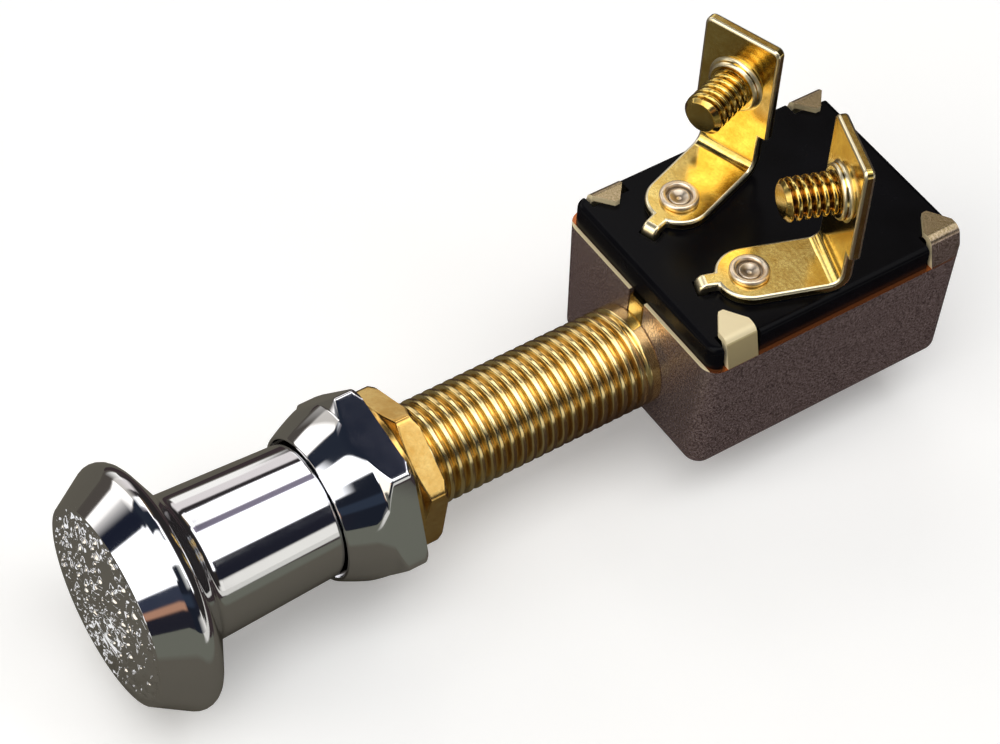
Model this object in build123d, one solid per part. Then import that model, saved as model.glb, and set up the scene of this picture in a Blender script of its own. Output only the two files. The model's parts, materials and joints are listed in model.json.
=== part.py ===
"""Push-pull on/off switch for a panel, millimetres.

The stem lies along Y: the knob is at -Y, the switch box at +Y, the screw terminals stand up along +Z.
The origin is on the stem's axis, at the front face of the switch box. The knob is pushed in (off).
"""

import os
from math import asin, cos, radians, sin

from build123d import *

# Stem: threaded bushing, panel nut and bezel nut
thread_d = 9.525            # 3/8 inch stem, 24 threads to the inch
thread_pitch = 25.4 / 24
thread_depth = 0.55
thread_crest = 0.34         # flat on top of each ridge
thread_root = 0.1           # flat at the bottom of the groove
thread_end = 0.7            # plain stem in front of the box
free_thread = 23.6          # box face to the back of the panel nut
stem_chamfer = 0.5
nut_clear = 0.04            # nut bore over the thread's crests
nut_edge = 0.35             # chamfer on the corners behind both nuts
panel_nut_across = 12.7
panel_nut_hex = 2.1         # axial length of the hexagon
panel_nut_collar = 1.2      # round shoulder in front of it
panel_nut_face_d = 11.8     # front of the shoulder
panel_nut_bulge = 0.1       # shoulder outside a straight cone
panel_nut_corner = 0.35     # axial length of the chamfer on its front corners
panel_nut_turn = 53.0       # direction of one flat, from +X towards +Z
bezel_across = 15.9
bezel_hex = 2.8             # axial length of the hexagon
bezel_corner = 0.8          # axial length of the chamfer on its front corners
bezel_bell = 3.75           # axial length of the round front
bezel_bell_d = 16.5         # bell where it meets the hexagon
bezel_mouth_d = 13.4        # small end of the bell
bezel_bulge = 0.1           # bell outside a straight cone
bezel_turn = 49.5           # direction of one corner, from +X towards +Z
bezel_lip = 0.3             # wall between the bell's mouth and its recess
bezel_recess_depth = 1.5
stem_end_inset = 0.6        # stem end below the floor of the bezel's recess

# Plunger: shaft and knob
shaft_d = 4.76
shaft_clear = 0.05
travel = 9.5
knob_gap = 0.3              # knob to the floor of the bezel's recess, pushed in
knob_neck_length = 13.45
knob_neck_clear = 0.35      # neck inside the bezel's recess
knob_neck_taper = 1.2       # neck's growth in diameter towards the head
knob_neck_edge = 0.3
knob_shoulder = 2.75        # axial length of the cone behind the rim
knob_rim_d = 23.5           # before its edge is rounded
knob_rim_r = 1.4
knob_root_r = 0.9
knob_side = 4.3             # axial length of the cone in front of the rim
knob_face_d = 18.2
knob_face_rise = 1.2
knob_face_r = 0.45
knob_socket = 14.0
knob_bore_clear = 0.03

# Switch box, a drawn can open at the top: its length and rim follow from the works inside
box_width = 21.9            # at the rim
box_draft = 0.6             # each side wall leans in by this much at the floor
back_room = 3.4             # behind the plunger's tail, pushed in
box_floor = 5.8             # outside of the floor below the stem's axis
box_wall = 0.6
box_corner_r = 1.0          # inside the upright corners
box_floor_r = 0.5           # inside, around the floor
key_slot = 2.2
key_clear = 0.1
key_drop = 0.5              # top of the key below the rim
shank_step = 1.25           # shoulder of the stem on the front wall
shank_clear = 0.05
stake_lip = 0.45            # spread end of the stem inside the wall
stake_t = 0.8

# Clamping tabs of the box
tab_width = 3.2
tab_front_inset = 3.4       # tab centre from the front of the box
tab_back_inset = 2.2        # tab centre from the back of the box
tab_lean = 0.76             # tab leans in over its height
tab_reach_left = 2.9        # lip's tip from the side of the box
tab_reach_right = 3.8
tab_shoulder_left = 1.3     # where the lip starts to taper
tab_shoulder_right = 1.9
tab_tip = 0.5
tab_bend_r = 0.3

# Terminal plate
plate_rise = 2.4            # plate top above the rim
plate_ledge = 0.35          # rim left showing around the plate
plate_plug = 1.0
plate_plug_clear = 0.15
plate_edge_r = 0.6
notch_clear = 0.35

# Terminals, seen from the eyelet
eyelet_inset = 5.8          # eyelet centre from the side of the box
eyelet_y = 7.9              # from the front of the box
splay = 19.0
strip_t = 1.0
strip_width = 6.0
flag_front = 7.3            # eyelet centre to the flag's front face
flag_width = 7.7
flag_top = 15.2             # above the plate
flag_shoulder = 4.7
flag_corner_r = 0.7
strip_bend_r = 1.0
nib_width = 1.5
nib_out = 1.7               # beyond the round end
nib_drop = 1.1
nib_clear = 0.12
nib_bend_r = 0.8
screw_d = 3.85              # crests of a 5/32 inch thread
screw_core_d = 3.3          # where the thread sits in the flag
screw_relief = 0.3          # between the free thread and the flag's collar
screw_height = 9.5          # above the plate
screw_reach = 5.45          # in front of the flag
screw_tip = 0.4
peen_d = 5.0                # end spread behind the flag
peen_t = 0.4
peen_r = 0.25
screw_clear = 0.03
collar_d = 5.0
collar_t = 0.7

# Eyelets and the contacts they hold
eyelet_shank_d = 2.5
eyelet_ring_d = 2.4         # inside of the rolled rim
eyelet_groove = 0.5         # between the rim and the button inside it
eyelet_button_d = 1.9
eyelet_button_drop = 0.28   # below the rim
eyelet_dish = 0.25
eyelet_rim_d = 3.6
eyelet_rim_t = 0.55
eyelet_rim_r = 0.25
eyelet_clear = 0.03
contact_t = 0.6
contact_width = 5.2
contact_length = 6.4

# Sliding contact and its carriage
stop_t = 0.8
stop_d = 7.4
stop_gap = 0.1
tail_d = 3.2
tail_clear = 0.04
tail_end = 0.9              # tail beyond the clip
carriage_width = 11.0
carriage_length = 10.6
carriage_gap = 0.1          # over the floor liner
liner_t = 0.4
liner_gap = 0.3
liner_edge = 0.9            # inside the rounding of the floor
bar_t = 0.8
bar_gap = 0.1               # bar under the eyelets, pulled out
bar_room = 0.95             # bar over the carriage
bar_overhang = 0.4          # bar outside its legs
bar_depth = 5.0
bar_leg = 2.6
bar_leg_inset = 0.6         # legs let into the sides of the carriage
bar_leg_clear = 0.1
spring_d = 3.6
spring_wire = 0.5
spring_turns = 3
spring_pocket = 1.2
spring_floor = 0.56         # carriage between the pocket and the tail's bore
spring_pocket_clear = 0.2
clip_d = 6.0
clip_t = 0.6
clip_groove = 0.3
clip_gap_angle = 70.0
clip_clear = 0.03

# Detent ring in the stem
detent_wire = 0.7
detent_from_face = 6.0      # ring centre in front of the box face
detent_room = 0.15
detent_groove = 0.35
detent_gap_angle = 40.0

# Levels and stations worked out from the sizes
thread_r = thread_d / 2
shaft_r = shaft_d / 2
shank_d = thread_d - 2 * shank_step
stake_d = shank_d + 2 * stake_lip
panel_nut_back = -free_thread
bezel_back = panel_nut_back - panel_nut_hex - panel_nut_collar
bezel_front = bezel_back - bezel_hex - bezel_bell
bezel_recess_d = bezel_mouth_d - 2 * bezel_lip
recess_floor = bezel_front + bezel_recess_depth
stem_front = recess_floor + stem_end_inset
knob_neck_d_back = bezel_recess_d - 2 * knob_neck_clear
knob_neck_d_front = knob_neck_d_back + knob_neck_taper
knob_back = recess_floor - knob_gap
knob_root = knob_back - knob_neck_length
knob_rim = knob_root - knob_shoulder
knob_crease = knob_rim - knob_side
knob_apex = knob_crease - knob_face_rise
tail_bore_d = tail_d + 2 * tail_clear
carriage_top = tail_bore_d / 2 + spring_floor + spring_pocket
bar_bottom = carriage_top + bar_room
bar_top = bar_bottom + bar_t
eyelet_bottom = bar_top + bar_gap
contact_bottom = eyelet_bottom + eyelet_rim_t
plug_bottom = contact_bottom + contact_t
box_rim = plug_bottom + plate_plug
plate_top = box_rim + plate_rise
floor_top = -box_floor + box_wall
liner_top = floor_top + liner_t
carriage_bottom = liner_top + carriage_gap
stake_end = box_wall + stake_t
stop_front = stake_end + stop_gap + travel
carriage_front = stop_front + stop_t
carriage_back = carriage_front + carriage_length
bar_y = eyelet_y + travel
leg_inner = carriage_width / 2 - bar_leg_inset + bar_leg_clear
leg_outer = leg_inner + bar_t
clip_back = carriage_back + clip_t
tail_back = clip_back + tail_end
box_length = tail_back + back_room + box_wall
eyelet_x = box_width / 2 - eyelet_inset
eyelet_hole_d = eyelet_shank_d + 2 * eyelet_clear


def block(x0, x1, y0, y1, z0, z1):
    """Box between two corners."""
    return Pos(x0, y0, z0) * Box(x1 - x0, y1 - y0, z1 - z0, align=(Align.MIN, Align.MIN, Align.MIN))


def turned(*points):
    """Solid turned about Y from (radius, y) corners."""
    return revolve(make_face(Polyline(*points, close=True)), Axis.Y)


def rod(diameter, y0, y1):
    """Round bar along the stem's axis."""
    return turned((0, y0), (diameter / 2, y0), (diameter / 2, y1), (0, y1))


def across_y(points, y0, y1):
    """Prism along Y from (x, z) corners."""
    face = Plane.XZ * make_face(Polyline(*points, close=True))
    return Pos(0, y1, 0) * extrude(face, y1 - y0)


def rounded(face, point, radius):
    """Flat face with the corner nearest to a point rounded."""
    return fillet(face.vertices().sort_by_distance((*point, 0))[0], radius)


def hexagon(across, y0, y1, corner_turn):
    """Hexagonal bar along Y, one corner turned from +X towards +Z."""
    corner_r = across / 2 / cos(radians(30))
    angles = [radians(corner_turn + 60 * i) for i in range(6)]
    return across_y([(corner_r * cos(a), corner_r * sin(a)) for a in angles], y0, y1)


def box_outline(inset, z_low, z_high):
    """Section of the box across Y, its leaning sides moved in by an inset."""
    lean = box_draft / (box_rim + box_floor)
    low = box_width / 2 - inset - lean * (box_rim - z_low)
    high = box_width / 2 - inset - lean * (box_rim - z_high)
    return [(-low, z_low), (low, z_low), (high, z_high), (-high, z_high)]


def box_block(inset, z_low, z_high):
    """Block of the box's outline with rounded corners and floor edges."""
    solid = across_y(box_outline(inset, z_low, z_high), inset, box_length - inset)
    upright = solid.edges().filter_by(lambda e: e.bounding_box().size.Z > (z_high - z_low) / 2)
    solid = fillet(upright, box_corner_r + box_wall - inset)
    return fillet(solid.faces().sort_by(Axis.Z)[0].edges(), box_floor_r + box_wall - inset)


def plan_block(inset, z_low, z_high):
    """Upright block that follows the box's rim, moved in by an inset."""
    width = box_width - 2 * inset
    length = box_length - 2 * inset
    outline = RectangleRounded(width, length, box_corner_r + box_wall - inset)
    return Pos(0, box_length / 2, z_low) * extrude(outline, z_high - z_low)


def tab_places():
    """Side and centre of each clamping tab."""
    return [(side, y) for side in (-1, 1) for y in (tab_front_inset, box_length - tab_back_inset)]


def tab(side, y):
    """Tab that rises from the rim and is bent over the plate, with a pointed lip."""
    outer = box_width / 2
    top = plate_top + box_wall
    inner = outer - box_wall
    base = outer - (tab_shoulder_right if side > 0 else tab_shoulder_left)
    tip = outer - (tab_reach_right if side > 0 else tab_reach_left)
    points = [(outer, box_rim), (outer - tab_lean, top), (tip, top)]
    points += [(tip, plate_top), (inner - tab_lean, plate_top), (inner, box_rim)]
    section = make_face(Polyline(*points, close=True))
    section = rounded(section, (outer - tab_lean, top), box_wall + tab_bend_r)
    section = rounded(section, (inner - tab_lean, plate_top), tab_bend_r)
    bent = Pos(0, tab_width / 2, 0) * extrude(Plane.XZ * section, tab_width)
    plan = [(outer, -tab_width / 2), (outer, tab_width / 2), (base, tab_width / 2)]
    plan += [(tip, tab_tip / 2), (tip, -tab_tip / 2), (base, -tab_width / 2)]
    lip = Pos(0, 0, box_rim) * extrude(make_face(Polyline(*plan, close=True)), top - box_rim)
    shape = bent & lip
    if side < 0:
        shape = mirror(shape, Plane.YZ)
    return Pos(0, y, 0) * shape & box_block(0, -box_floor, top)


def housing():
    """Drawn can with the stem's hole, the key slot over it and four tabs."""
    can = box_block(0, -box_floor, box_rim)
    can -= box_block(box_wall, floor_top, box_rim + box_wall)
    can -= rod(shank_d + 2 * shank_clear, -box_wall, 2 * box_wall)
    can -= block(-key_slot / 2, key_slot / 2, -box_wall, 2 * box_wall, 0, box_rim + box_wall)
    for side, y in tab_places():
        can += tab(side, y)
    return can


def thread_groove():
    """Helical groove between the ridges of the stem, from its free end to short of the box."""
    half = (thread_pitch - thread_crest) / 2
    flank = (half - thread_root / 2) / thread_depth
    over = thread_crest / 2
    wide = half + flank * over
    points = [(-thread_depth, thread_root / 2), (over, wide), (over, -wide), (-thread_depth, -thread_root / 2)]
    section = Pos(thread_r, 0, 0) * Plane.XZ * make_face(Polyline(*points, close=True))
    path = Helix(thread_pitch, thread_pitch - thread_end - stem_front, thread_r)
    return Pos(0, stem_front - thread_pitch / 2, 0) * Rot(-90, 0, 0) * sweep(section, path=path, is_frenet=True)


def threaded_bushing():
    """Stem with its thread, a staked shank and a locating key."""
    shank_r = shank_d / 2
    stake_r = stake_d / 2
    stem = turned((0, stem_front), (thread_r - stem_chamfer, stem_front),
                  (thread_r, stem_front + stem_chamfer), (thread_r, 0), (shank_r, 0), (shank_r, box_wall),
                  (stake_r, box_wall), (stake_r, stake_end), (0, stake_end))
    stem -= thread_groove()
    half_key = key_slot / 2 - key_clear
    stem += block(-half_key, half_key, 0, box_wall, 0, box_rim - key_drop)
    stem -= rod(shaft_d + 2 * shaft_clear, stem_front - box_wall, stake_end + box_wall)
    room = detent_wire / 2 + detent_room
    groove_d = shaft_d + 2 * shaft_clear + 2 * detent_wire + 2 * detent_room
    return stem - rod(groove_d, -detent_from_face - room, -detent_from_face + room)


def hex_nut(across, corner_turn, bell, corner, front, shoulder, back):
    """Hexagon nut whose front is turned to a bell: its face, its shoulder and the hexagon behind that."""
    corner_r = across / 2 / cos(radians(30))
    flank = Polyline(bell[-1], (corner_r, shoulder + corner), (corner_r, back - nut_edge),
                     (corner_r - nut_edge, back), (0, back), (0, front), bell[0])
    curve = ThreePointArc(*bell)
    turned_nut = revolve(make_face(Curve() + [curve, flank]), Axis.Y)
    nut = hexagon(across, front, back, corner_turn) & turned_nut
    return nut - rod(thread_d + 2 * nut_clear, front - nut_edge, back + nut_edge)


def bell_curve(front_r, front, shoulder_r, shoulder, bulge):
    """Three points of a bell's side, bulging out from a straight cone."""
    middle = ((front_r + shoulder_r) / 2 + bulge, (front + shoulder) / 2)
    return [(front_r, front), middle, (shoulder_r, shoulder)]


def panel_nut():
    """Thin hexagon nut with a round shoulder towards the panel."""
    shoulder = bezel_back + panel_nut_collar
    bell = bell_curve(panel_nut_face_d / 2, bezel_back, panel_nut_across / 2, shoulder, panel_nut_bulge)
    turn = panel_nut_turn + 30
    return hex_nut(panel_nut_across, turn, bell, panel_nut_corner, bezel_back, shoulder, panel_nut_back)


def bezel_nut():
    """Hexagon nut whose front runs down in a bell to the knob's neck."""
    shoulder = bezel_back - bezel_hex
    bell = bell_curve(bezel_mouth_d / 2, bezel_front, bezel_bell_d / 2, shoulder, bezel_bulge)
    nut = hex_nut(bezel_across, bezel_turn, bell, bezel_corner, bezel_front, shoulder, bezel_back)
    return nut - rod(bezel_recess_d, bezel_front - bezel_recess_depth, recess_floor)


def knob():
    """Chromed knob: tapered neck, flared head and a shallow domed face."""
    face_r = knob_face_d / 2
    dome_r = (face_r ** 2 + knob_face_rise ** 2) / (2 * knob_face_rise)
    half = asin(face_r / dome_r) / 2
    mid = (dome_r * sin(half), knob_apex + dome_r - dome_r * cos(half))
    crease = (face_r, knob_crease)
    rim = (knob_rim_d / 2, knob_rim)
    root = (knob_neck_d_front / 2, knob_root)
    back = (knob_neck_d_back / 2, knob_back)
    dome = ThreePointArc((0, knob_apex), mid, crease)
    rest = Polyline(crease, rim, root, back, (0, knob_back), (0, knob_apex))
    section = make_face(Curve() + [dome, rest])
    section = rounded(section, rim, knob_rim_r)
    section = rounded(section, crease, knob_face_r)
    section = rounded(section, root, knob_root_r)
    section = rounded(section, back, knob_neck_edge)
    bore = rod(shaft_d + 2 * knob_bore_clear, knob_back - knob_socket, knob_back + knob_neck_edge)
    return revolve(section, Axis.Y) - bore


def plunger_shaft():
    """Steel rod with two detent grooves and a thinner tail for the carriage."""
    shaft = rod(shaft_d, knob_back - knob_socket, stop_front)
    shaft += rod(tail_d, stop_front, tail_back)
    waist = shaft_d / 2 - detent_groove
    for y in (-detent_from_face, -detent_from_face + travel):
        shaft -= turned((waist, y), (shaft_d, y - shaft_d + waist), (shaft_d, y + shaft_d - waist))
    groove = rod(tail_d, carriage_back, clip_back) - rod(tail_d - 2 * clip_groove, carriage_back, clip_back)
    return shaft - groove


def stop_washer():
    """Fibre washer that stops the plunger on the stem."""
    return rod(stop_d, stop_front, carriage_front) - rod(tail_bore_d, stop_front, carriage_front)


def retaining_clip():
    """Open ring in the groove behind the carriage."""
    inner_r = tail_d / 2 - clip_groove + clip_clear
    outer_r = clip_d / 2
    section = make_face(Polyline((inner_r, carriage_back), (outer_r, carriage_back), (outer_r, clip_back),
                                 (inner_r, clip_back), close=True))
    return revolve(section, Axis.Y, 360 - clip_gap_angle)


def detent_ring():
    """Open wire ring in the stem's groove, round the shaft."""
    centre_r = shaft_r + shaft_clear + detent_wire / 2
    section = Pos(centre_r, -detent_from_face) * Circle(detent_wire / 2)
    return revolve(section, Axis.Y, 360 - detent_gap_angle)


def carriage():
    """Moulded block on the shaft's tail, with a spring pocket and grooves for the contact bar."""
    half = carriage_width / 2
    body = block(-half, half, carriage_front, carriage_back, carriage_bottom, carriage_top)
    body -= rod(tail_bore_d, carriage_front - stop_t, carriage_back + clip_t)
    pocket_r = spring_d / 2 + spring_pocket_clear
    body -= Pos(0, bar_y, carriage_top) * Cylinder(pocket_r, 2 * spring_pocket)
    groove = bar_depth / 2 + bar_leg_clear
    low = bar_bottom - bar_leg - bar_leg_clear
    for side in (-1, 1):
        edges = sorted((side * (half - bar_leg_inset), side * leg_outer))
        body -= block(*edges, bar_y - groove, bar_y + groove, low, bar_bottom)
    return body


def contact_bar():
    """Bent brass bridge over the carriage."""
    half = leg_outer + bar_overhang
    depth = bar_depth / 2
    bar = block(-half, half, bar_y - depth, bar_y + depth, bar_bottom, bar_top)
    for side in (-1, 1):
        edges = sorted((side * leg_inner, side * leg_outer))
        bar += block(*edges, bar_y - depth, bar_y + depth, bar_bottom - bar_leg, bar_bottom)
    return bar


def contact_spring():
    """Coil spring that lifts the contact bar."""
    low = carriage_top - spring_pocket
    radius = (spring_d - spring_wire) / 2
    rise = bar_bottom - low - spring_wire
    path = Helix(pitch=rise / spring_turns, height=rise, radius=radius)
    coil = sweep(Plane(path @ 0, z_dir=path % 0) * Circle(spring_wire / 2), path=path)
    return Pos(0, bar_y, low + spring_wire / 2) * coil


def floor_liner():
    """Fibre sheet on the floor of the box."""
    edge = box_wall + box_floor_r + liner_edge
    half = box_outline(edge, floor_top, box_rim)[1][0]
    start = stake_end + liner_gap
    return block(-half, half, start, box_length - edge, floor_top, liner_top)


def terminal_place(side):
    """Place of a terminal: its eyelet on the plate's top, splayed outwards to the back."""
    return Pos(side * eyelet_x, eyelet_y, plate_top) * Rot(0, 0, -side * splay)


def terminal():
    """Bent brass strip: round end, nib, bend and an upright flag, about its eyelet."""
    end_r = strip_width / 2
    flag_back = flag_front + strip_t
    points = [(-end_r, 0), (flag_back, 0), (flag_back, flag_top), (flag_front, flag_top)]
    points += [(flag_front, strip_t), (-end_r, strip_t)]
    section = make_face(Polyline(*points, close=True))
    section = rounded(section, (flag_back, 0), strip_bend_r + strip_t)
    section = rounded(section, (flag_front, strip_t), strip_bend_r)
    bent = Pos(-flag_width / 2, 0, 0) * extrude(Plane.YZ * section, flag_width)
    corners = bent.edges().filter_by(Axis.Y).group_by(Axis.Z)[-1]
    bent = fillet(corners, flag_corner_r)
    strip = Cylinder(end_r, flag_shoulder, align=(Align.CENTER, Align.CENTER, Align.MIN))
    strip += block(-end_r, end_r, 0, flag_back, 0, flag_shoulder)
    strip += block(-flag_width / 2, flag_width / 2, 0, flag_back, flag_shoulder, flag_top)
    shape = bent & strip
    tip = end_r + nib_out
    hook = [(-end_r + strip_t, 0), (-end_r + strip_t, strip_t), (-tip, strip_t), (-tip, -nib_drop)]
    hook += [(strip_t - tip, -nib_drop), (strip_t - tip, 0)]
    hook = rounded(make_face(Polyline(*hook, close=True)), (-tip, strip_t), nib_bend_r)
    shape += Pos(-nib_width / 2, 0, 0) * extrude(Plane.YZ * hook, nib_width)
    shape += Pos(0, 0, screw_height) * rod(collar_d, flag_front - collar_t, flag_front)
    hole = rod(screw_core_d + 2 * screw_clear, flag_front - screw_reach, flag_back + strip_t)
    shape -= Pos(0, 0, screw_height) * hole
    return shape - Cylinder(eyelet_hole_d / 2, 2 * strip_t + 2 * eyelet_rim_t)


def terminal_screw():
    """Screw through the flag, its end peened behind it and its free end at the crests of its thread."""
    radius = screw_d / 2
    core_r = screw_core_d / 2
    peen = peen_d / 2
    seat = flag_front + strip_t
    root = flag_front - collar_t - screw_relief
    tip = flag_front - screw_reach
    end = seat + peen_t
    section = make_face(Polyline((0, tip), (radius - screw_tip, tip), (radius, tip + screw_tip),
                                 (radius, root), (core_r, root), (core_r, seat), (peen, seat),
                                 (peen, end), (0, end), close=True))
    section = rounded(section, (peen, end), peen_r)
    return Pos(0, 0, screw_height) * revolve(section, Axis.Y)


def eyelet():
    """Rivet through terminal, plate and contact, its rim rolled round a dished button, about its own axis."""
    ring = eyelet_ring_d / 2
    button = eyelet_button_d / 2
    shank = eyelet_shank_d / 2
    rim = eyelet_rim_d / 2
    top = strip_t + eyelet_rim_t
    low = contact_bottom - plate_top
    end = eyelet_bottom - plate_top
    crown = top - eyelet_button_drop
    section = make_face(Polyline((0, crown - eyelet_dish), (button, crown), (button, top - eyelet_groove),
                                 (ring, top - eyelet_groove), (ring, top), (rim, top), (rim, strip_t),
                                 (shank, strip_t), (shank, low), (rim, low), (rim, end), (0, end), close=True))
    for corner in ((ring, top), (rim, top), (rim, end)):
        section = rounded(section, corner, eyelet_rim_r)
    return revolve(Plane.XZ * section, Axis.Z)


def fixed_contact(side):
    """Brass pad under the plate, held by the eyelet."""
    half = contact_width / 2
    pad = block(-half, half, -contact_length / 2, contact_length / 2, contact_bottom, plug_bottom)
    pad -= Cylinder(eyelet_hole_d / 2, 2 * box_rim)
    return Pos(side * eyelet_x, eyelet_y, 0) * pad


def terminal_plate():
    """Black moulded plate that closes the box, with notches for the tabs."""
    plate = plan_block(plate_ledge, box_rim, plate_top)
    plate = fillet(plate.faces().sort_by(Axis.Z)[-1].edges(), plate_edge_r)
    plate += plan_block(box_wall + plate_plug_clear, plug_bottom, box_rim)
    outer = box_width / 2
    reach = tab_width / 2 + notch_clear
    for side, y in tab_places():
        depth = tab_lean + box_wall + tab_bend_r + notch_clear
        edges = sorted((side * (outer - depth), side * (outer + box_wall)))
        plate -= block(*edges, y - reach, y + reach, box_rim, plate_top + box_wall)
    nib_tip = -(strip_width / 2 + nib_out)
    nib_half = nib_width / 2 + nib_clear
    for side in (-1, 1):
        hole = Cylinder(eyelet_hole_d / 2, 2 * plate_top)
        pocket = block(-nib_half, nib_half, nib_tip - nib_clear, nib_tip + strip_t + nib_clear,
                       -nib_drop - nib_clear, strip_t)
        plate -= terminal_place(side) * (hole + pocket)
    return plate


nodes = {
    "knob": knob(),
    "plunger_shaft": plunger_shaft(),
    "bezel_nut": bezel_nut(),
    "panel_nut": panel_nut(),
    "threaded_bushing": threaded_bushing(),
    "detent_ring": detent_ring(),
    "housing": housing(),
    "floor_liner": floor_liner(),
    "terminal_plate": terminal_plate(),
    "carriage": carriage(),
    "contact_bar": contact_bar(),
    "contact_spring": contact_spring(),
    "stop_washer": stop_washer(),
    "retaining_clip": retaining_clip(),
}
for side, name in ((-1, "left"), (1, "right")):
    place = terminal_place(side)
    nodes["terminal_" + name] = place * terminal()
    nodes["terminal_screw_" + name] = place * terminal_screw()
    nodes["eyelet_" + name] = place * eyelet()
    nodes["fixed_contact_" + name] = fixed_contact(side)

os.makedirs("parts", exist_ok=True)
for name, shape in nodes.items():
    export_step(shape, "parts/" + name + ".step")
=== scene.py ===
import json
import math

import bmesh
import bpy
from mathutils import Matrix, Vector

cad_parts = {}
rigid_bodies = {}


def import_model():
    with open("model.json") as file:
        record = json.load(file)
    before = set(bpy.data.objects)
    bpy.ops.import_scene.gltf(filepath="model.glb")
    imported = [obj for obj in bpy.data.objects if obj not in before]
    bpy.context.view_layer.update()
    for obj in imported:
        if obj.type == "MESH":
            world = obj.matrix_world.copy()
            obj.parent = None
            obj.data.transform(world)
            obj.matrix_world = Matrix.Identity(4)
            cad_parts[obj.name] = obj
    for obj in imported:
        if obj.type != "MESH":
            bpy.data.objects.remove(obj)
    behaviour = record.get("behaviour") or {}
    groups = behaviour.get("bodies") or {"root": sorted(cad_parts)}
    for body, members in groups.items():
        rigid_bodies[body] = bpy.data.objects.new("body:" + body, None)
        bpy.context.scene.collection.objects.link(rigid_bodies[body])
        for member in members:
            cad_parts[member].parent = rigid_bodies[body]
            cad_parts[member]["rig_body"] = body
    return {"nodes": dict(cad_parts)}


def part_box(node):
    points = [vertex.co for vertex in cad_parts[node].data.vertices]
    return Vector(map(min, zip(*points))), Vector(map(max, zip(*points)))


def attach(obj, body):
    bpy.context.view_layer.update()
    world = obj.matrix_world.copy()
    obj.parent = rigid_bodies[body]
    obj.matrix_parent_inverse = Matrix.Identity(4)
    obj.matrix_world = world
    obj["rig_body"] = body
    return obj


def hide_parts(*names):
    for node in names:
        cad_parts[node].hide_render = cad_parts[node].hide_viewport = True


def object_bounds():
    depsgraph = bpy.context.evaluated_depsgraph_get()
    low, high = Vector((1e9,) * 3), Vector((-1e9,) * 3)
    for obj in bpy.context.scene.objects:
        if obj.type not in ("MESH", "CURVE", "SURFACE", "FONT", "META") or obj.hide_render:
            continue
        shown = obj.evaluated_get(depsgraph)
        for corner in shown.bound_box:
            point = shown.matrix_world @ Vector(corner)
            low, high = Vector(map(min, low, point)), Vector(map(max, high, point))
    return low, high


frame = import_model()
cad_low, cad_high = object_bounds()
nodes = frame["nodes"]

MM = 0.001

# Stem and its key, in millimetres as on the real switch, as are all sizes here
STEM_PITCH = 25.4 / 24
STEM_DEPTH = 0.55
STEM_PLAIN = 0.7
STEM_BORE = 4.86
STEM_CHAMFER = 0.5
SHANK_D = 7.025
STAKE_D = 7.925
STAKE_T = 0.8
STAKE_ROUND = 0.15
KEY_WIDTH = 2.0
KEY_ROOT = 0.3

# Box: its wall, its middle along Y, the plate's plug in it and the can's rim
BOX_WALL = 0.6
BOX_MIDDLE = 14.0
PLATE_PLUG = 1.0
COPPER_RIM_T = 0.08
ABOVE_RIM = 0.1

# Terminals, splayed by an angle in degrees
STRIP_T = 1.0
STRIP_WIDTH = 6.0
STRIP_EDGE = 0.26
FLAG_FRONT = 7.3
COLLAR_T = 0.7
COLLAR_GAP = 0.05
SPLAY = 19.0

# Terminal screws and their peened ends
SCREW_D = 3.85
SCREW_PITCH = 25.4 / 32
SCREW_DEPTH = 0.48
SCREW_CORE_D = 3.3
SCREW_REACH = 5.45
SCREW_HEIGHT = 9.5
SCREW_BEVEL = (0.45, 0.4)
SCREW_RUN_IN = 0.4
SCREW_RUN_OUT = 0.6
SCREW_ROUND = 0.1
PEEN_D = 5.0
PEEN_T = 0.4
PEEN_ROUND = 0.25

# Eyelets, with the places of the dish as shares of the button
EYELET_D = 3.6
EYELET_RING = 2.4
EYELET_BUTTON = 1.9
EYELET_RIM = 0.55
EYELET_SHANK_D = 2.5
EYELET_CROWN = 0.28
EYELET_DISH = (0.3, 0.25)
EYELET_DISH_SHARES = (0.35, 0.85)
EYELET_GROOVE = 0.5
EYELET_TAPER = 0.04
EYELET_DISH_ROUND = 0.3
EYELET_GROOVE_ROUND = 0.04
EYELET_ROLL_ROUND = (0.25, 0.28)
EYELET_FOOT_ROUND = 0.2

# Nuts, each turned by an angle in degrees
NUT_BORE = 9.605
NUT_EDGE = 0.35
BEZEL_ACROSS = 15.9
BEZEL_HEX = 2.8
BEZEL_CORNER = 0.8
BEZEL_BELL_D = 16.5
BEZEL_MOUTH_D = 13.4
BEZEL_BULGE = 0.1
BEZEL_LIP = 0.3
BEZEL_RECESS = 1.5
BEZEL_TURN = 49.5
BEZEL_SOFT = 0.22
PANEL_NUT_ACROSS = 12.7
PANEL_NUT_COLLAR = 1.2
PANEL_NUT_FACE_D = 11.8
PANEL_NUT_TURN = 83.0
PANEL_NUT_SOFT = 0.25
PANEL_NUT_FACE_ROUND = 0.2
PANEL_NUT_COLLAR_ROUND = 0.3

# Knob and its stipple
KNOB_NECK = 13.45
KNOB_NECK_D = (12.1, 13.3)
KNOB_SHOULDER = 2.75
KNOB_RIM_D = 23.49
KNOB_SIDE = 4.3
KNOB_FACE_D = 18.2
KNOB_RISE = 1.2
KNOB_RIM_ROUND = 1.4
KNOB_ROOT_ROUND = 0.9
KNOB_END_ROUND = 0.3
STIPPLE_GRAIN = 0.95
STIPPLE_DEPTH = 0.24

# Rounding of small edges
SMALL_ROUND = 0.12

# Strength of the painted highlight on the tabs, of the paleness of the terminals' nib and of the painted
# shade in the eyelets: 0 none, 1 all
NIB_PALENESS = 0.85
NEAR_TAB_HIGHLIGHT = 0.7
TAB_HIGHLIGHT = 0.3
EYELET_SHADE = 0.8

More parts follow.
